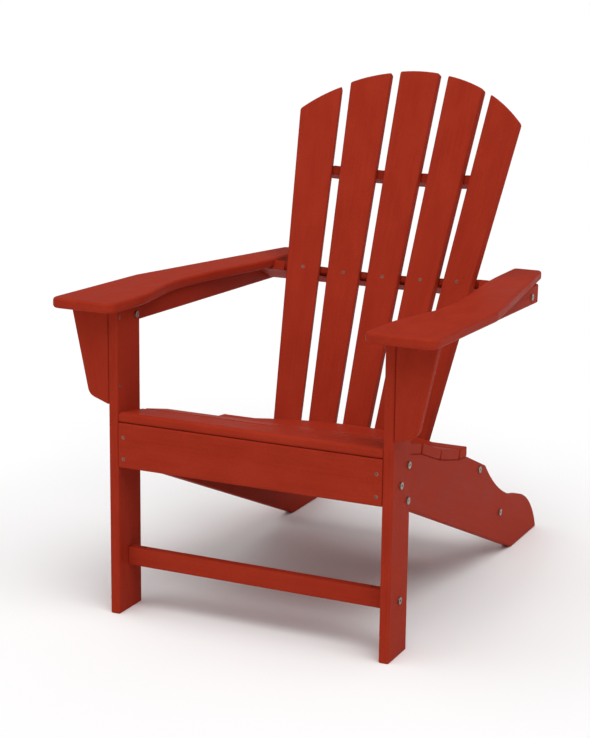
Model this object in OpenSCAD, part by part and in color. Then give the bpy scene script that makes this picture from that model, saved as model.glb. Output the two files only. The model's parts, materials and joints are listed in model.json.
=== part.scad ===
// Fan-back adirondack chair in recycled plastic lumber.
// Origin: middle of the chair's footprint box, on the ground. +Z up, the sitter faces -Y.
// Inside the chair's own module frame, y = 0 is the front face of the legs.

/* [Overall] */
// Width over the outer faces of the two legs
leg_span = 600; // [540:1:680]
// Height of the front leg, at its front face
leg_h = 620.2; // [580:1:660]
// How far the rear foot reaches behind the front of the legs
foot_reach = 928; // [880:1:1000]
// Length of a back slat above the arm-level rail, at the middle
back_up = 467.6; // [420:1:520]

/* [Boards] */
// Thickness of every thin board
board_t = 20.6; // [18:0.1:26]
// Thickness of a stringer
stringer_t = 23.2; // [20:0.1:30]
// Width of a leg board
leg_w = 88.9; // [76:0.1:100]
// Height of the apron board
apron_h = 91.4; // [80:0.1:100]
// Height of the narrow stock: stretcher and rear brace
narrow_w = 38.1; // [32:0.1:45]
// Height of the rails under the arms
arm_rail_h = 41.2; // [34:0.1:48]
// Radius worked on the long edges of a board
edge_r = 4.1; // [2:0.1:7]
// Height of a stringer board across its slope
stringer_w = 145.5; // [130:0.5:160]
// Slope of the stringers, falling to the rear
stringer_deg = 22.7; // [18:0.05:26]

/* [Seat] */
// Height of the seat boards' seat on the stringers, at the front
seat_z = 395.6; // [360:0.5:420]
// Spacing of the first and second seat slats
pitch_front = 99.6; // [95:0.1:104]
// Spacing of the third and fourth seat slats
pitch_rear = 109.8; // [104:0.1:114]
// Gap between neighbouring seat slats
seat_gap = 7; // [4:0.5:12]
// Radius on the front edge of the first seat slat
nose_r = 8; // [5:0.5:10]

/* [Back] */
// Recline of the back from upright
recline = 23.75; // [18:0.05:30]
// How far the slat screws in the lower rail are behind the end of the seat's bearing
back_set = 45.7; // [40:0.1:60]
// How far those screws are below the top of the stringers at the front
back_drop = 141.9; // [135:0.1:150]
// Radius of the hollow back at the arm-level rail
back_r = 700; // [560:5:900]
// Angle round that hollow between neighbouring slats
slat_step = 7.4; // [6.8:0.05:8.4]
// Sideways fan between neighbouring slats
slat_fan = 2.66; // [1.8:0.02:3.2]
// Extra rearward lean of each slat out from the middle
slat_lean = 0.3; // [0:0.05:0.6]
// Width of a back slat at the arm-level rail
slat_w = 72.6; // [62:0.2:80]
// Widening of a back slat per millimetre of its length
slat_taper = 0.0413; // [0.02:0.001:0.05]
// Radius of the arched top
arch_r = 349.7; // [300:1:420]
// How far a back slat reaches below its screw in the lower rail
slat_tail = 17.1; // [14:0.1:25]

/* [Arms] */
// Width of an arm at the front
arm_w = 139.7; // [120:0.5:150]
// How far an arm reaches outside the leg
arm_over = 97; // [88:1:120]
// How far an arm reaches in front of the leg
arm_front = 55.2; // [30:1:80]
// How far an arm reaches behind the face of the middle back slat
arm_past = 155; // [120:1:180]
// Fall of the arms to the rear
arm_deg = 1.5; // [0:0.1:3]
// How far the waist of the inner edge is cut in
arm_waist = 31; // [10:1:40]
// How far a bracket stands out from the leg, at the top
bracket_out = 83; // [60:1:88]
// Height of a bracket
bracket_h = 192; // [140:1:220]

/* [Fasteners] */
// Shank diameter of the bolts
bolt_d = 6.4; // [5:0.1:8]
// Head diameter of the bolts
head_d = 14; // [12:0.5:18]
// Head height of the bolts
head_h = 3.2; // [2:0.1:5]
// Shank diameter of the wood screws
screw_d = 4.2; // [3.5:0.1:5]
// Head diameter of the wood screws
screw_head_d = 7.6; // [7:0.1:10]
// Diameter of the barrel nuts in the ends of the cross pieces
barrel_d = 10; // [8:0.5:12]
// Clearance of a drilled hole round its bolt, on the diameter
hole_clear = 0.6; // [0.2:0.1:1.2]

/* [Hidden] */
$fn = 32;
red = [0.72, 0.17, 0.11];
steel = [0.72, 0.73, 0.74];
leg_in = leg_span / 2 - board_t;           // inner face of a leg
str_in = leg_in - stringer_t;              // inner face of a stringer
str_mid = leg_in - stringer_t / 2;
frame_len = 2 * leg_in;                    // apron, stretcher and seat slats
y_mid = (foot_reach - arm_front) / 2;      // middle of the footprint box
rail_out = leg_span / 2;                   // inner face of an arm rail
stretch_y = 35.8;
stretch_z = 92.8;
apron_top = seat_z;

// Seat line: where the underside of each seat slat sits on the stringers
seat_deg = [8.5, 13.6, 20.6, 14.0, 5.2];
seat_pitch = [pitch_front, pitch_front, pitch_rear, pitch_rear, 44];
function seat_pt(i) = i == 0 ? [0, seat_z]
  : seat_pt(i - 1) + seat_pitch[i - 1] * [cos(seat_deg[i - 1]), -sin(seat_deg[i - 1])];

// The back stands on the lower rail, and crosses the underside of the arms at back_y and mid_z
low_y = seat_pt(5)[0] + back_set;
low_z = seat_z - back_drop;
back_y = (low_y + (leg_h - low_z) * tan(recline)) / (1 + tan(arm_deg) * tan(recline));
mid_z = leg_h - back_y * tan(arm_deg);
low_s = (low_z - mid_z) / cos(recline);    // lower rail along the slats, from the arm-level rail
top_s = 231;                               // upper rail, the same
back_down = slat_tail - low_s;
arm_out = leg_span / 2 + arm_over;
arm_rear = back_y + arm_past;
low_r = 365;
top_r = 1000;
rail_front = 41.5;                         // how far a back rail reaches in front of the slat faces
rail_rear = 72.5;                          // and behind them
mid_front = 16;                            // the same in front, at the ends of the arm-level rail
top_len = 450;
top_rail_w = 38.1;
top_sink = 5;                              // the upper rail's screw heads below its rear face
top_screw_len = top_rail_w - top_sink + 12.6;

leg_bolt_at = [[76, seat_z - 26.8], [39.9, seat_z - 57.4], [75.3, seat_z - 96]];
low_bolt_y = 35.3;                         // along the lower rail, behind the slat faces
mid_bolt_y = 60;
brace_at = [667.5, 106.7];
apron_screw_dz = [18.6, 62.4];
bracket_screw_z = [leg_h - bracket_h + 39.5, leg_h - 17.7];
front_rail_bolt = [74.4, -arm_rail_h / 2];
arm_screw_end = 163;                       // last arm screw in front of the arm's rear end
barrel_in = 32;                            // barrel nut in from the end of a cross piece

// ---------------------------------------------------------------- outlines

function unit(v) = v / norm(v);
function turn(a) = a > 180 ? a - 360 : a < -180 ? a + 360 : a;
function arc(c, r, a0, a1, n) = [for (i = [0 : n]) let (a = a0 + (a1 - a0) * i / n) c + r * [cos(a), sin(a)]];
function fillet(p, q, s, r) = r <= 0 ? [q] :
  let (a = unit(p - q), b = unit(s - q), half = acos(a * b) / 2, c = q + unit(a + b) * r / sin(half),
    u = q + a * r / tan(half) - c, v = q + b * r / tan(half) - c, a0 = atan2(u[1], u[0]),
    sweep = turn(atan2(v[1], v[0]) - a0))
  arc(c, r, a0, a0 + sweep, 8);
// Polygon through points [x, y, corner radius]
function softened(p) = let (n = len(p)) [for (i = [0 : n - 1])
  each fillet([p[(i + n - 1) % n][0], p[(i + n - 1) % n][1]], [p[i][0], p[i][1]],
    [p[(i + 1) % n][0], p[(i + 1) % n][1]], p[i][2])];
function ease(t) = let (c = min(1, max(0, t))) c * c * (3 - 2 * c);

// Board section, w by h from its corner, with round edges
module section(w, h, r = edge_r) {
  translate([r, 0]) square([w - 2 * r, h]);
  translate([0, r]) square([w, h - 2 * r]);
  for (x = [r, w - r], y = [r, h - r]) translate([x, y]) circle(r);
}

// Extrudes an outline drawn in (y, z) across the chair, centred on x
module across(len) { translate([-len / 2, 0, 0]) rotate([90, 0, 90]) linear_extrude(len) children(); }
// Extrudes an outline drawn in (x, z) rearward from y = 0
module rearward(len) { translate([0, len, 0]) rotate([90, 0, 0]) linear_extrude(len) children(); }
// Rod along +x from the origin
module rod(d, len) { rotate([0, 90, 0]) cylinder(d = d, h = len); }

// ---------------------------------------------------------------- frames

module chair() { translate([0, -y_mid, 0]) children(); }
// side = 1 right of the sitter's view from the front, -1 left
module both(side) { if (side > 0) children(); else mirror([1, 0, 0]) children(); }
// Arms: z = 0 is the underside of the arms
module arm_frame() { translate([0, 0, leg_h]) rotate([-arm_deg, 0, 0]) children(); }
// Back: z along the slats from the arm-level screws, y rearward from the slat faces
module back_frame() { translate([0, back_y, mid_z]) rotate([-recline, 0, 0]) children(); }
module slat_frame(i) {
  a = i * slat_step;
  back_frame() translate([back_r * sin(a), back_r * (cos(a) - 1), 0])
    rotate([0, i * slat_fan, 0]) rotate([-slat_lean * abs(i), 0, 0]) rotate([0, 0, -a]) children();
}
// Everything above the underside of the arms
module over_arms(x0 = -600) { arm_frame() translate([x0, -200, 0]) cube([1200, 1400, 200]); }

// ---------------------------------------------------------------- fasteners

// Flat round head with a hex socket, head outward at -x, shank along +x
module bolt(len) {
  difference() {
    union() {
      translate([-head_h, 0, 0]) rod(head_d, head_h);
      rod(bolt_d, len);
    }
    translate([-head_h - 1, 0, 0]) rod(5.2, 2.6);
  }
}
// Countersunk screw, flush head at the origin, shank along +x
module screw(len) {
  difference() {
    union() {
      rotate([0, 90, 0]) cylinder(d1 = screw_head_d, d2 = screw_d, h = 2.6);
      rod(screw_d, len);
    }
    translate([-1, 0, 0]) rod(2.6, 2.2);
  }
}
module screw_cut(len) {
  rotate([0, 90, 0]) cylinder(d1 = screw_head_d, d2 = screw_d, h = 2.6);
  rod(screw_d, len);
}
module bolt_cut(len) { translate([-0.01, 0, 0]) rod(bolt_d + hole_clear, len); }
// Barrel nut on a bolt axis running along +x, barrel upright
module barrel() {
  difference() {
    translate([barrel_in, 0, -8]) cylinder(d = barrel_d, h = 16);
    translate([barrel_in - barrel_d, 0, 0]) rod(bolt_d, 2 * barrel_d);
  }
}
module barrel_cut(up = 8) {
  translate([barrel_in, 0, -8]) cylinder(d = barrel_d, h = 8 + up);
}

// Places, on the +x side, with +x of the child running inward from the outer face
module at_leg_bolts(side) {
  both(side) for (p = leg_bolt_at) translate([leg_span / 2, p[0], p[1]]) mirror([1, 0, 0]) children();
}
module at_stretcher_bolt(side) {
  both(side) translate([leg_span / 2, stretch_y + board_t / 2, stretch_z + narrow_w / 2])
    mirror([1, 0, 0]) children();
}
module at_low_bolt(side) {
  back_frame() both(side) translate([leg_in, low_bolt_y, low_s]) mirror([1, 0, 0]) children();
}
module at_brace_bolt(side) {
  both(side) translate([leg_in, brace_at[0], brace_at[1]]) mirror([1, 0, 0]) children();
}
module at_mid_bolt(side) {
  back_frame() both(side) translate([rail_out + board_t, mid_bolt_y, 0]) mirror([1, 0, 0]) children();
}
// Runs outward, from the inner face of the leg into the arm rail
module at_rail_bolt(side) {
  arm_frame() both(side) translate([leg_in, front_rail_bolt[0], front_rail_bolt[1]]) children();
}
module at_apron_screws(side) {
  both(side) for (dz = apron_screw_dz)
    translate([str_mid, 0, apron_top - apron_h + dz]) rotate([0, 0, 90]) children();
}
module at_bracket_screws(side) {
  both(side) for (z = bracket_screw_z) translate([leg_in, board_t / 2, z]) children();
}
// Pocket screws, from the inner face of a stringer up into a seat slat
module at_seat_screws(side, i) {
  m = (seat_pt(i) + seat_pt(i + 1)) / 2;
  both(side) translate([str_mid, m[0], m[1]]) rotate([-seat_deg[i], 0, 0])
    rotate([0, 18, 0]) translate([0, 0, -30]) rotate([0, -90, 0]) children();
}
// Down through a slat into a back rail, head on the slat face
module at_slat_screw(i, s) { slat_frame(i) translate([0, 0, s]) rotate([0, 0, 90]) children(); }
// Up through an arm rail into the arm, head under the rail
module at_arm_screws(side) {
  arm_frame() both(side) for (y = [130, 380, arm_rear - arm_screw_end])
    translate([rail_out + board_t / 2, y, -arm_rail_h]) rotate([0, -90, 0]) children();
}

// ---------------------------------------------------------------- legs and front

module leg_body(side) {
  both(side) difference() {
    translate([leg_in, 0, 0]) linear_extrude(leg_h + 20) section(board_t, leg_w);
    over_arms();
  }
}
module leg(side) {
  color(red) chair() difference() {
    leg_body(side);
    at_leg_bolts(side) bolt_cut(board_t + 1);
    at_stretcher_bolt(side) bolt_cut(board_t + 1);
    at_rail_bolt(side) bolt_cut(board_t + 1);
    at_bracket_screws(side) screw_cut(board_t + 1);
  }
}
// Everything above the underside of the first seat slat
module over_seat() {
  across(1200) translate([0, seat_z]) rotate(-seat_deg[0]) translate([-50, 0]) square([200, 60]);
}
module apron() {
  color(red) chair() difference() {
    across(frame_len) translate([0, apron_top - apron_h]) section(board_t, apron_h);
    over_seat();
    for (s = [-1, 1]) at_apron_screws(s) screw_cut(board_t + 1);
  }
}
module stretcher() {
  color(red) chair() difference() {
    across(frame_len) translate([stretch_y, stretch_z]) section(board_t, narrow_w);
    for (s = [-1, 1]) at_stretcher_bolt(s) {
      bolt_cut(board_t + 45);
      translate([board_t, 0, 0]) barrel_cut(30);
    }
  }
}

// ---------------------------------------------------------------- stringers

// Centre of the hollow that touches the foot's round and ends at the top corner
function meet(c, r, t, q) =
  let (d = norm(t - c), a = (r * r - q * q + d * d) / (2 * d), h = sqrt(r * r - a * a), u = (t - c) / d)
  c + u * a + h * [u[1], -u[0]] * (u[0] < 0 ? 1 : -1);
foot_r = 178;
foot_drop = 62;
hollow_r = 431;
heel_r = 22;                               // where the underside turns onto the floor
str_tan = tan(stringer_deg);
top_corner = seat_pt(5) + 121 * [1, -str_tan];
foot_c = [foot_reach - sqrt(foot_r * foot_r - foot_drop * foot_drop), -foot_drop];
hollow_c = meet(foot_c, foot_r + hollow_r, top_corner, hollow_r);
low_line = seat_pt(5)[1] - stringer_w / cos(stringer_deg) + seat_pt(5)[0] * str_tan;

module stringer_outline() {
  u = unit(hollow_c - foot_c);
  v = unit(top_corner - hollow_c);
  floor_a = atan2(foot_drop, foot_reach - foot_c[0]);
  front_low = [board_t, low_line - board_t * str_tan];
  polygon(concat(
    [front_low],
    fillet(front_low, [low_line / str_tan, 0], [foot_reach, 0], heel_r),
    arc(foot_c, foot_r, floor_a, atan2(u[1], u[0]), 16),
    arc(hollow_c, hollow_r, atan2(-u[1], -u[0]) + 360, atan2(v[1], v[0]) + 360, 16),
    [for (i = [5 : -1 : 1]) seat_pt(i)],
    [[board_t, seat_z - board_t * tan(seat_deg[0])]]));
}
module stringer(side) {
  color(red) chair() difference() {
    both(side) translate([str_mid, 0, 0]) across(stringer_t) stringer_outline();
    at_leg_bolts(side) bolt_cut(board_t + stringer_t + 1);
    at_low_bolt(side) bolt_cut(stringer_t + 1);
    at_brace_bolt(side) bolt_cut(stringer_t + 1);
    at_apron_screws(side) rod(screw_d, 50);
    for (i = [0 : 4]) at_seat_screws(side, i) {
      screw_cut(40);
      translate([-40, 0, 0]) rod(screw_head_d, 40);
    }
  }
}
module rear_brace() {
  color(red) chair() difference() {
    across(2 * str_in) translate([brace_at[0] - board_t / 2, brace_at[1] - narrow_w / 2])
      section(board_t, narrow_w);
    for (s = [-1, 1]) at_brace_bolt(s) {
      bolt_cut(stringer_t + 45);
      translate([stringer_t, 0, 0]) barrel_cut(30);
    }
  }
}

// ---------------------------------------------------------------- seat

module seat_slat(k) {
  i = k - 1;
  p = seat_pt(i);
  w = k == 1 ? pitch_front - seat_gap / 2 : k == 5 ? 130 : seat_pitch[i] - seat_gap;
  color(red) chair() difference() {
    intersection() {
      across(frame_len) translate(p) rotate(-seat_deg[i]) translate([k == 1 ? 0 : seat_gap / 2, 0]) {
        section(w, board_t, edge_r);
      }
      if (k == 1) seat_nose();
      else if (k == 5) seat_tail();
      else translate([-500, -50, 0]) cube([1000, 1200, 800]);
    }
    for (s = [-1, 1]) at_seat_screws(s, i) rod(screw_d, 46);
  }
}
// The bull nose of the front slat
module seat_nose() {
  across(frame_len) translate([0, seat_z]) rotate(-seat_deg[0]) {
    translate([nose_r, 0]) square([200, board_t]);
    translate([0, nose_r]) square([200, board_t - 2 * nose_r]);
    for (z = [nose_r, board_t - nose_r]) translate([nose_r, z]) circle(nose_r);
  }
}
// The rear slat follows the hollow back between two square ends
module seat_tail() {
  translate([-500, 0, 0]) cube([1000, seat_pt(5)[0], 800]);
  back_frame() translate([0, -low_r - 4, -600]) cylinder(r = low_r + 2, h = 600, $fn = 96);
}

// ---------------------------------------------------------------- back

module slat_body(i) {
  wb = slat_w - slat_taper * back_down;
  wt = slat_w + slat_taper * 480;
  intersection() {
    slat_frame(i) rearward(board_t)
      polygon([[-wb / 2, -back_down], [wb / 2, -back_down], [wt / 2, 480], [-wt / 2, 480]]);
    back_frame() {
      translate([0, 200, back_up - arch_r]) rotate([90, 0, 0]) cylinder(r = arch_r, h = 400, $fn = 96);
      translate([-400, -200, -500]) cube([800, 400, 500 + back_up - arch_r]);
    }
  }
}
module back_slat(k) {
  i = k - 3;
  color(red) chair() difference() {
    slat_body(i);
    at_slat_screw(i, low_s) screw_cut(board_t + 1);
    at_slat_screw(i, 0) screw_cut(board_t + 1);
    top_screw(i) rod(screw_d, top_screw_len);
  }
}
// Screw from behind the upper rail forward into a slat
module top_screw(i) {
  slat_frame(i) translate([0, board_t + top_rail_w - top_sink, top_s]) rotate([0, 0, -90]) children();
}

// A rail lying square to the slats, hollow front of radius r starting at depth y0, straight rear
module rail_board(half, r, y0, front, rear) {
  linear_extrude(board_t, center = true) difference() {
    translate([-half, -front]) square([2 * half, front + rear]);
    translate([0, y0 - r]) circle(r, $fn = 180);
  }
}
module slats_out() { for (i = [-2 : 2]) slat_body(i); }

module lower_rail() {
  color(red) chair() difference() {
    back_frame() translate([0, 0, low_s]) rail_board(str_in, low_r, board_t - 2, rail_front, rail_rear);
    slats_out();
    for (i = [-2 : 2]) at_slat_screw(i, low_s) rod(screw_d, 50);
    for (s = [-1, 1]) at_low_bolt(s) {
      bolt_cut(stringer_t + 45);
      translate([stringer_t, 0, 0]) barrel_cut(20);
    }
  }
}
module middle_rail() {
  color(red) chair() difference() {
    back_frame() rail_board(rail_out, back_r + board_t, board_t, mid_front, rail_rear);
    slats_out();
    for (s = [-1, 1]) arm_body(s, 100);
    for (i = [-2 : 2]) at_slat_screw(i, 0) rod(screw_d, 50);
    for (s = [-1, 1]) at_mid_bolt(s) {
      bolt_cut(board_t + 45);
      translate([board_t, 0, 0]) barrel_cut(20);
    }
  }
}
module upper_rail() {
  color(red) chair() difference() {
    back_frame() translate([0, 0, top_s]) linear_extrude(board_t, center = true) intersection() {
      difference() {
        translate([0, board_t - 1 + top_rail_w - top_r]) circle(top_r, $fn = 180);
        translate([0, board_t - 1 - top_r]) circle(top_r, $fn = 180);
      }
      translate([-top_len / 2, -100]) square([top_len, 300]);
    }
    slats_out();
    for (i = [-2 : 2]) top_screw(i) {
      screw_cut(60);
      translate([-30, 0, 0]) rod(screw_head_d, 30);
    }
  }
}

// ---------------------------------------------------------------- arms

// Inner edge of an arm at a distance y behind the leg fronts
function arm_in(y) = arm_out - arm_w + arm_waist * ease((y - 40) / 230)
  - (arm_waist + 7) * ease((y - 300) / 390) - 6 * ease((y - 640) / 200);
arm_kink = 272;                            // where the outer edge turns inward
arm_tail = 88;                             // how far it comes in at the rear
arm_run_out = 113;                         // straight end of the inner edge

module arm_body(side, height = board_t) {
  front = [[arm_out, -arm_front, 20], [arm_out, arm_kink, 60], [arm_out - arm_tail, arm_rear, 10]];
  rear = [[arm_in(arm_rear), arm_rear, 12]];
  inner = [for (y = [arm_rear - arm_run_out : -25 : 40]) [arm_in(y), y, 0]];
  arm_frame() both(side) linear_extrude(height)
    polygon(softened(concat([[arm_out - arm_w, -arm_front, 18]], front, rear, inner)));
}
module arm(side) {
  color(red) chair() difference() {
    arm_body(side);
    at_arm_screws(side) rod(screw_d, arm_rail_h + 12);
  }
}
module arm_rail(side) {
  color(red) chair() difference() {
    arm_frame() both(side) translate([rail_out, 0, -arm_rail_h]) rearward(arm_rear - 55)
      section(board_t, arm_rail_h);
    both(side) translate([0, -100, 0]) cube([600, 100 + board_t, 1000]);
    at_rail_bolt(side) translate([board_t - 0.01, 0, 0]) rod(barrel_d, 14);
    at_mid_bolt(side) bolt_cut(board_t + 1);
    at_arm_screws(side) {
      translate([2.6, 0, 0]) screw_cut(arm_rail_h + 1);
      translate([-1, 0, 0]) rod(screw_head_d, 1 + 2.6);
    }
  }
}
module bracket(side) {
  x0 = leg_span / 2;
  low = leg_h - bracket_h;
  color(red) chair() difference() {
    both(side) rearward(board_t) polygon(softened([[x0, low, 0], [x0, leg_h + 10, 0],
      [x0 + bracket_out + 2, leg_h + 10, 0], [x0 + 45, low + 16, 22]]));
    over_arms();
    at_bracket_screws(side) rod(screw_d, board_t + 26);
  }
}

// ---------------------------------------------------------------- fastener groups

module leg_bolts() { color(steel) chair() for (s = [-1, 1]) at_leg_bolts(s) bolt(board_t + stringer_t + 7); }
module leg_nuts() {
  color(steel) chair() for (s = [-1, 1]) at_leg_bolts(s) translate([board_t + stringer_t, 0, 0]) difference() {
    union() {
      rod(16, 1.6);
      translate([1.6, 0, 0]) rotate([0, 90, 0]) cylinder(d = 12.7, h = 5.4, $fn = 6);
    }
    translate([-1, 0, 0]) rod(bolt_d, 12);
  }
}
module cross_bolts() {
  color(steel) chair() for (s = [-1, 1]) {
    at_stretcher_bolt(s) bolt(board_t + barrel_in + 8);
    at_low_bolt(s) bolt(stringer_t + barrel_in + 8);
    at_brace_bolt(s) bolt(stringer_t + barrel_in + 8);
    at_mid_bolt(s) bolt(board_t + barrel_in + 8);
  }
}
module barrel_nuts() {
  color(steel) chair() for (s = [-1, 1]) {
    at_stretcher_bolt(s) translate([board_t, 0, 0]) barrel();
    at_low_bolt(s) translate([stringer_t, 0, 0]) barrel();
    at_brace_bolt(s) translate([stringer_t, 0, 0]) barrel();
    at_mid_bolt(s) translate([board_t, 0, 0]) barrel();
  }
}
module rail_bolts() { color(steel) chair() for (s = [-1, 1]) at_rail_bolt(s) bolt(board_t + 13); }
module rail_inserts() {
  color(steel) chair() for (s = [-1, 1]) at_rail_bolt(s) translate([board_t, 0, 0]) difference() {
    rod(barrel_d, 13.6);
    translate([-1, 0, 0]) rod(bolt_d, 16);
  }
}
module apron_screws() { color(steel) chair() for (s = [-1, 1]) at_apron_screws(s) screw(49); }
module seat_screws() { color(steel) chair() for (s = [-1, 1], i = [0 : 4]) at_seat_screws(s, i) screw(44); }
module back_screws_low() { color(steel) chair() for (i = [-2 : 2]) at_slat_screw(i, low_s) screw(48); }
module back_screws_mid() { color(steel) chair() for (i = [-2 : 2]) at_slat_screw(i, 0) screw(48); }
module back_screws_top() { color(steel) chair() for (i = [-2 : 2]) top_screw(i) screw(top_screw_len); }
module bracket_screws() { color(steel) chair() for (s = [-1, 1]) at_bracket_screws(s) screw(board_t + 24); }
module arm_screws() {
  color(steel) chair() for (s = [-1, 1]) at_arm_screws(s) translate([2.6, 0, 0]) screw(arm_rail_h + 8);
}

// ---------------------------------------------------------------- sub-parts

leg(-1);  // leg_left
leg(1);  // leg_right
apron();
stretcher();
stringer(-1);  // stringer_left
stringer(1);  // stringer_right
seat_slat(1);  // seat_slat_1
seat_slat(2);  // seat_slat_2
seat_slat(3);  // seat_slat_3
seat_slat(4);  // seat_slat_4
seat_slat(5);  // seat_slat_5
back_slat(1);  // back_slat_1
back_slat(2);  // back_slat_2
back_slat(3);  // back_slat_3
back_slat(4);  // back_slat_4
back_slat(5);  // back_slat_5
lower_rail();
middle_rail();
upper_rail();
rear_brace();
arm(-1);  // arm_left
arm(1);  // arm_right
arm_rail(-1);  // arm_rail_left
arm_rail(1);  // arm_rail_right
bracket(-1);  // bracket_left
bracket(1);  // bracket_right
leg_bolts();
leg_nuts();
cross_bolts();
barrel_nuts();
rail_bolts();
rail_inserts();
apron_screws();
seat_screws();
back_screws_low();
back_screws_mid();
back_screws_top();
bracket_screws();
arm_screws();
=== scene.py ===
import json
import math
import random

import bmesh
import bpy
import numpy as np
from mathutils import Matrix, Vector


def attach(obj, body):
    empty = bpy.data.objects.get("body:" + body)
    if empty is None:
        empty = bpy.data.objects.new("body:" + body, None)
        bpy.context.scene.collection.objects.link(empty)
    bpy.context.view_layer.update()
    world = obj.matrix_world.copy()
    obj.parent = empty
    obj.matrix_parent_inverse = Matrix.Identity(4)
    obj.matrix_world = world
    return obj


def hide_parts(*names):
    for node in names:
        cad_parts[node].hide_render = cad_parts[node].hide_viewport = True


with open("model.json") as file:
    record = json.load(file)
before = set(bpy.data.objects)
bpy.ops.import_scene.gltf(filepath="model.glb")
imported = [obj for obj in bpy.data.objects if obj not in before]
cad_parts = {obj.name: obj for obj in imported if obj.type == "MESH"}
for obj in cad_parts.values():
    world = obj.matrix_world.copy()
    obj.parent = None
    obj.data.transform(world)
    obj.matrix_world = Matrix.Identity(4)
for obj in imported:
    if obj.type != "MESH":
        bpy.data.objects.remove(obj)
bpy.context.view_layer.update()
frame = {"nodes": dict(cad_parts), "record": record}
nodes = frame["nodes"]
scene = bpy.context.scene
random.seed(7)


# ---------------------------------------------------------------- camera, floor and light


def look(azimuth, elevation, roll):
    """Rotation of a camera that looks down at the object, azimuth 0 along +Y."""
    a, e, r = (math.radians(v) for v in (azimuth, elevation, roll))
    back = Vector((math.sin(a) * math.cos(e), -math.cos(a) * math.cos(e), math.sin(e)))
    right = Vector((math.cos(a), math.sin(a), 0))
    up = back.cross(right)
    axes = (math.cos(r) * right + math.sin(r) * up, math.cos(r) * up - math.sin(r) * right, back)
    return Matrix(axes).transposed()


camera = bpy.data.objects.new("camera", bpy.data.cameras.new("camera"))
camera.data.sensor_width = 36
camera.data.lens = 93.23
camera.data.clip_end = 200
camera.matrix_world = Matrix.Translation((1.5641, -3.5399, 1.3630)) @ look(25.25, 13.40, 0.70).to_4x4()
scene.collection.objects.link(camera)
scene.camera = camera


def lamp(name, azimuth, elevation, spread, strength):
    """A broad, even studio light. Azimuth 0 comes from the front, 90 from +X."""
    sun = bpy.data.lights.new(name, "SUN")
    sun.angle = math.radians(spread)
    sun.energy = strength
    a, e = math.radians(azimuth), math.radians(elevation)
    away = Vector((math.sin(a) * math.cos(e), -math.cos(a) * math.cos(e), math.sin(e)))
    o = bpy.data.objects.new(name, sun)
    o.rotation_euler = away.to_track_quat("Z", "Y").to_euler()
    o.location = away * 5
    scene.collection.objects.link(o)


lamp("key", 50, 63, 55, 2.0)
lamp("fill", -60, 52, 70, 0.8)

world = bpy.data.worlds.new("studio")
world.use_nodes = True
world.node_tree.nodes["Background"].inputs["Color"].default_value = (1, 1, 1, 1)
world.node_tree.nodes["Background"].inputs["Strength"].default_value = 0.34
scene.world = world
scene.view_settings.view_transform = "Standard"


def new_mesh(name, bm):
    me = bpy.data.meshes.new(name)
    bm.to_mesh(me)
    bm.free()
    o = bpy.data.objects.new(name, me)
    scene.collection.objects.link(o)
    return o


bm = bmesh.new()
bmesh.ops.create_grid(bm, x_segments=2, y_segments=2, size=60)
floor = new_mesh("floor", bm)


# ---------------------------------------------------------------- materials


class Shader:
    """A node material, with short calls for the few node types used here."""

    def __init__(self, name):
        self.mat = bpy.data.materials.new(name)
        self.mat.use_nodes = True
        self.tree = self.mat.node_tree
        self.bsdf = self.tree.nodes["Principled BSDF"]

    def node(self, kind, inputs=None, **settings):
        n = self.tree.nodes.new(kind)
        for key, value in settings.items():
            setattr(n, key, value)
        for key, value in (inputs or {}).items():
            self.put(n.inputs[key], value)
        return n

    def put(self, socket, value):
        if isinstance(value, bpy.types.NodeSocket):
            self.tree.links.new(value, socket)
        else:
            socket.default_value = value

    def noise(self, vector, stretch, scale, detail=3.0, roughness=0.5):
        m = self.node("ShaderNodeMapping", {"Vector": vector, "Scale": stretch})
        n = self.node("ShaderNodeTexNoise", {"Vector": m.outputs[0], "Scale": scale, "Detail": detail,
                                             "Roughness": roughness})
        return n.outputs["Fac"]

    def span(self, value, low, high, from_low=0.0, from_high=1.0):
        n = self.node("ShaderNodeMapRange", {"Value": value, "From Min": from_low, "From Max": from_high,
                                             "To Min": low, "To Max": high})
        return n.outputs["Result"]

    def math(self, operation, a, b):
        n = self.node("ShaderNodeMath", {0: a, 1: b}, operation=operation)
        return n.outputs[0]

    def blend(self, factor, a, b, mode="MIX"):
        n = self.node("ShaderNodeMix", data_type="RGBA", blend_type=mode)
        self.put(n.inputs["Factor"], factor)
        self.put(n.inputs["A"], a)
        self.put(n.inputs["B"], b)
        return n.outputs["Result"]

    def bump(self, height, strength, distance, normal=None):
        n = self.node("ShaderNodeBump", {"Height": height, "Strength": strength, "Distance": distance})
        if normal:
            self.put(n.inputs["Normal"], normal)
        return n.outputs["Normal"]


# Reds of the lumber, the paler red of a worn edge that also paints the highlight on rounded edges, and
# the fasteners' metals
DEEP = (0.306, 0.0240, 0.0100, 1)
PLAIN = (0.338, 0.0285, 0.0122, 1)
PALE = (0.390, 0.0370, 0.0165, 1)
PITTED = (0.205, 0.0125, 0.0050, 1)
WORN_AND_HIGHLIT = (0.420, 0.0480, 0.0240, 1)
STAINLESS = ((0.23, 0.20, 0.175, 1), (0.40, 0.36, 0.32, 1))
COATED = ((0.165, 0.070, 0.050, 1), (0.27, 0.145, 0.110, 1))
PAPER = ((0.90, 0.90, 0.90, 1), (0.93, 0.93, 0.93, 1))


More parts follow.
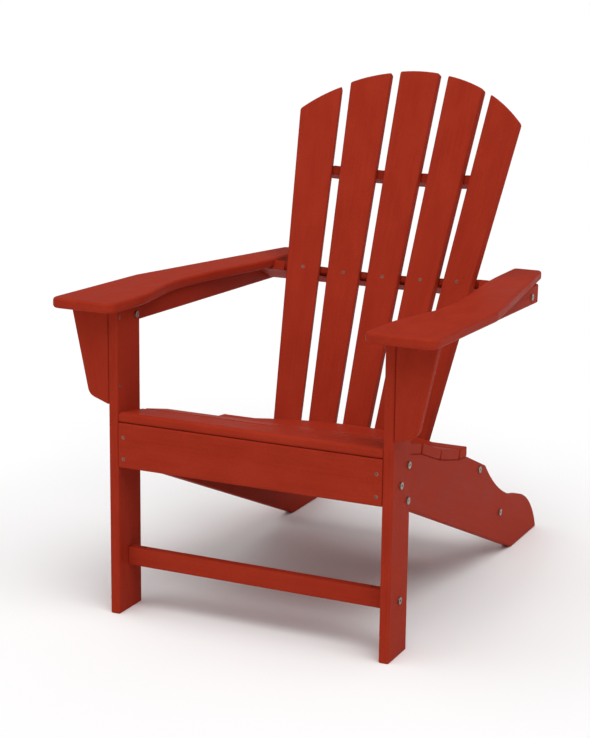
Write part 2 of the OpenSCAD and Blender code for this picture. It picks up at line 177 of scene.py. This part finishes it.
def lumber_material():
    """Extruded polyethylene board: long faint streaks, soft mottling and a fine skin."""
    s = Shader("plastic_lumber")
    grain = s.node("ShaderNodeAttribute", attribute_name="grain").outputs["Vector"]
    streak = s.noise(grain, (0.035, 1, 1), 210, 4)
    cloud = s.noise(grain, (0.5, 1, 1), 26, 3)
    skin = s.noise(grain, (0.3, 1, 1), 900, 3, 0.6)
    speck = s.noise(grain, (1, 1, 1), 2400, 2)
    edge_wear_and_highlight = s.node("ShaderNodeAttribute", attribute_name="edge_wear_and_highlight").outputs["Fac"]
    colour = s.blend(s.span(streak, 0, 1, 0.3, 0.7), DEEP, PLAIN)
    colour = s.blend(s.span(cloud, 0.0, 0.55, 0.35, 0.75), colour, PALE)
    colour = s.blend(s.span(skin, 0.0, 0.5, 0.45, 0.8), colour, PITTED)
    # Paler red along the rounded edges: wear, plus a painted highlight on those edges
    rubbed_and_highlit = s.math("MULTIPLY", edge_wear_and_highlight, s.span(skin, 0.1, 0.5, 0.3, 0.7))
    colour = s.blend(rubbed_and_highlit, colour, WORN_AND_HIGHLIT)
    s.put(s.bsdf.inputs["Base Color"], colour)
    s.put(s.bsdf.inputs["Roughness"], s.span(s.math("ADD", cloud, skin), 0.40, 0.60, 0.7, 1.3))
    s.bsdf.inputs["Specular IOR Level"].default_value = 0.02
    low = s.bump(streak, 0.16, 0.0005)
    fine = s.bump(skin, 0.6, 0.0003, low)
    s.put(s.bsdf.inputs["Normal"], s.bump(speck, 0.2, 0.0001, fine))
    return s.mat


def metal_material(name, shades, metallic):
    """Fasteners: dull satin metal with turning marks and a little weathering."""
    s = Shader(name)
    place = s.node("ShaderNodeTexCoord").outputs["Object"]
    mark = s.noise(place, (1, 1, 1), 900, 3)
    stain = s.noise(place, (1, 1, 1), 160, 4)
    colour = s.blend(s.span(stain, 0, 1, 0.35, 0.7), *shades)
    s.put(s.bsdf.inputs["Base Color"], colour)
    s.bsdf.inputs["Metallic"].default_value = metallic
    s.put(s.bsdf.inputs["Roughness"], s.span(mark, 0.28, 0.5, 0.3, 0.7))
    s.put(s.bsdf.inputs["Normal"], s.bump(mark, 0.2, 0.0001))
    return s.mat


def floor_material():
    """Plain pale paper, a little uneven in tone."""
    s = Shader("floor_paper")
    place = s.node("ShaderNodeTexCoord").outputs["Object"]
    tone = s.noise(place, (1, 1, 1), 1.5, 2)
    s.put(s.bsdf.inputs["Base Color"], s.blend(tone, *PAPER))
    s.bsdf.inputs["Roughness"].default_value = 0.9
    s.bsdf.inputs["Specular IOR Level"].default_value = 0.0
    return s.mat


lumber = lumber_material()
stainless = metal_material("stainless_steel", STAINLESS, 1.0)
coated = metal_material("coated_steel", COATED, 0.6)
floor.data.materials.append(floor_material())


# ---------------------------------------------------------------- fasteners

FASTENERS = [r["node"] for r in frame["record"]["subparts"] if r["material_slot"] == "hardware"]
HOLE_RADIUS = 0.0075  # the widest drilled or countersunk hole, with some room
HOLE_REACH = 0.06  # how far a hole may run on past the ends of its fastener


def welded(mesh):
    """A bmesh of the mesh, with its split vertices joined."""
    bm = bmesh.new()
    bm.from_mesh(mesh)
    bmesh.ops.remove_doubles(bm, verts=bm.verts[:], dist=1e-6)
    return bm


def solids(bm):
    """The vertex coordinates of each separate solid."""
    seen, found = set(), []
    for start in bm.verts:
        if start in seen:
            continue
        seen.add(start)
        queue, part = [start], []
        while queue:
            v = queue.pop()
            part.append(v.co.copy())
            for e in v.link_edges:
                w = e.other_vert(v)
                if w not in seen:
                    seen.add(w)
                    queue.append(w)
        found.append(np.array(part))
    return found


axes = []  # middle, direction and half length of each fastener
for name in FASTENERS:
    bm = welded(nodes[name].data)
    for part in solids(bm):
        middle = (part.min(0) + part.max(0)) / 2
        spread = np.linalg.svd(part - part.mean(0), full_matrices=False)
        axes.append((middle, spread[2][0], np.ptp(part @ spread[2][0]) / 2))
    bm.free()


def drilled(e):
    """True if an edge belongs to a drilled or countersunk hole."""
    for middle, along, half in axes:
        near = True
        for v in e.verts:
            d = np.array(v.co) - middle
            s = float(d @ along)
            if abs(s) > half + HOLE_REACH or np.linalg.norm(d - s * along) > HOLE_RADIUS:
                near = False
                break
        if near:
            return True
    return False


# ---------------------------------------------------------------- boards


def principal(mesh):
    """Length, width and thickness directions of a board, from its surface."""
    mesh.calc_loop_triangles()
    total, first, second = 0.0, np.zeros(3), np.zeros((3, 3))
    for t in mesh.loop_triangles:
        p = [np.array(mesh.vertices[i].co) for i in t.vertices]
        mids = [(p[0] + p[1]) / 2, (p[1] + p[2]) / 2, (p[2] + p[0]) / 2]
        total += t.area
        first += t.area * sum(mids) / 3
        second += t.area * sum(np.outer(m, m) for m in mids) / 3
    centre = first / total
    vectors = np.linalg.eigh(second / total - np.outer(centre, centre))[1]
    return centre, vectors[:, ::-1].T


def board(name, width, sharp=30, segments=4, shortest=0.0, not_facing=None):
    """The CAD board with its edges worked round to this width, in millimetres.

    Edges shorter than shortest, in metres, stay sharp. So do those of faces that look along
    not_facing, and those that bend by less than sharp degrees."""
    centre, directions = principal(nodes[name].data)
    bm = welded(nodes[name].data)
    bmesh.ops.dissolve_limit(bm, angle_limit=math.radians(0.2), verts=bm.verts[:], edges=bm.edges[:])
    edges = [e for e in bm.edges if len(e.link_faces) == 2
             and e.calc_face_angle(0) > math.radians(sharp)
             and e.calc_length() > shortest and not drilled(e)
             and not (not_facing and any(f.normal.dot(not_facing) > 0.6 for f in e.link_faces))]
    done = bmesh.ops.bevel(bm, geom=edges, offset=width / 1000, segments=segments, profile=0.5,
                           affect="EDGES", clamp_overlap=False)
    rounded = set(v for f in done["faces"] for v in f.verts)
    edge_wear_and_highlight = bm.verts.layers.float.new("edge_wear_and_highlight")
    grain = bm.verts.layers.float_vector.new("grain")
    shift = Vector([random.uniform(-5, 5) for _ in range(3)])
    turn = Matrix([list(d) for d in directions])
    for v in bm.verts:
        # Rounded edges are marked for the paler red: wear and a painted highlight
        v[edge_wear_and_highlight] = 1.0 if v in rounded else 0.0
        v[grain] = turn @ (v.co - Vector(centre)) + shift
    for f in bm.faces:
        f.smooth = True
    piece = new_mesh(name + "_board", bm)
    piece.data.set_sharp_from_angle(angle=math.radians(38))
    piece.data.materials.append(lumber)
    normals = piece.modifiers.new("flat_faces", "WEIGHTED_NORMAL")
    normals.keep_sharp = True
    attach(piece, "root")
    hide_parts(name)
    return piece


RECLINE = math.radians(23.75)
BACK_FRONT = Vector((0, -math.cos(RECLINE), math.sin(RECLINE)))
PRE_ROUNDED = ("arm_rail", "leg", "apron", "stretcher", "seat", "rear")  # round already in CAD

for row in frame["record"]["subparts"]:
    name = row["node"]
    if row["material_slot"] == "hardware":
        o = nodes[name]
        o.data.materials.clear()
        o.data.materials.append(coated if "screws" in name else stainless)
        edge = o.modifiers.new("turned_edges", "BEVEL")
        edge.width = 0.0005
        edge.segments = 2
        edge.limit_method = "ANGLE"
    elif name.startswith(PRE_ROUNDED):
        board(name, 2.0, sharp=50, segments=3)
    elif name.startswith("arm"):
        board(name, 6.0, segments=5)
    elif name.endswith("_rail"):
        board(name, 3.5, shortest=0.004, not_facing=BACK_FRONT)
    else:
        board(name, 4.0)
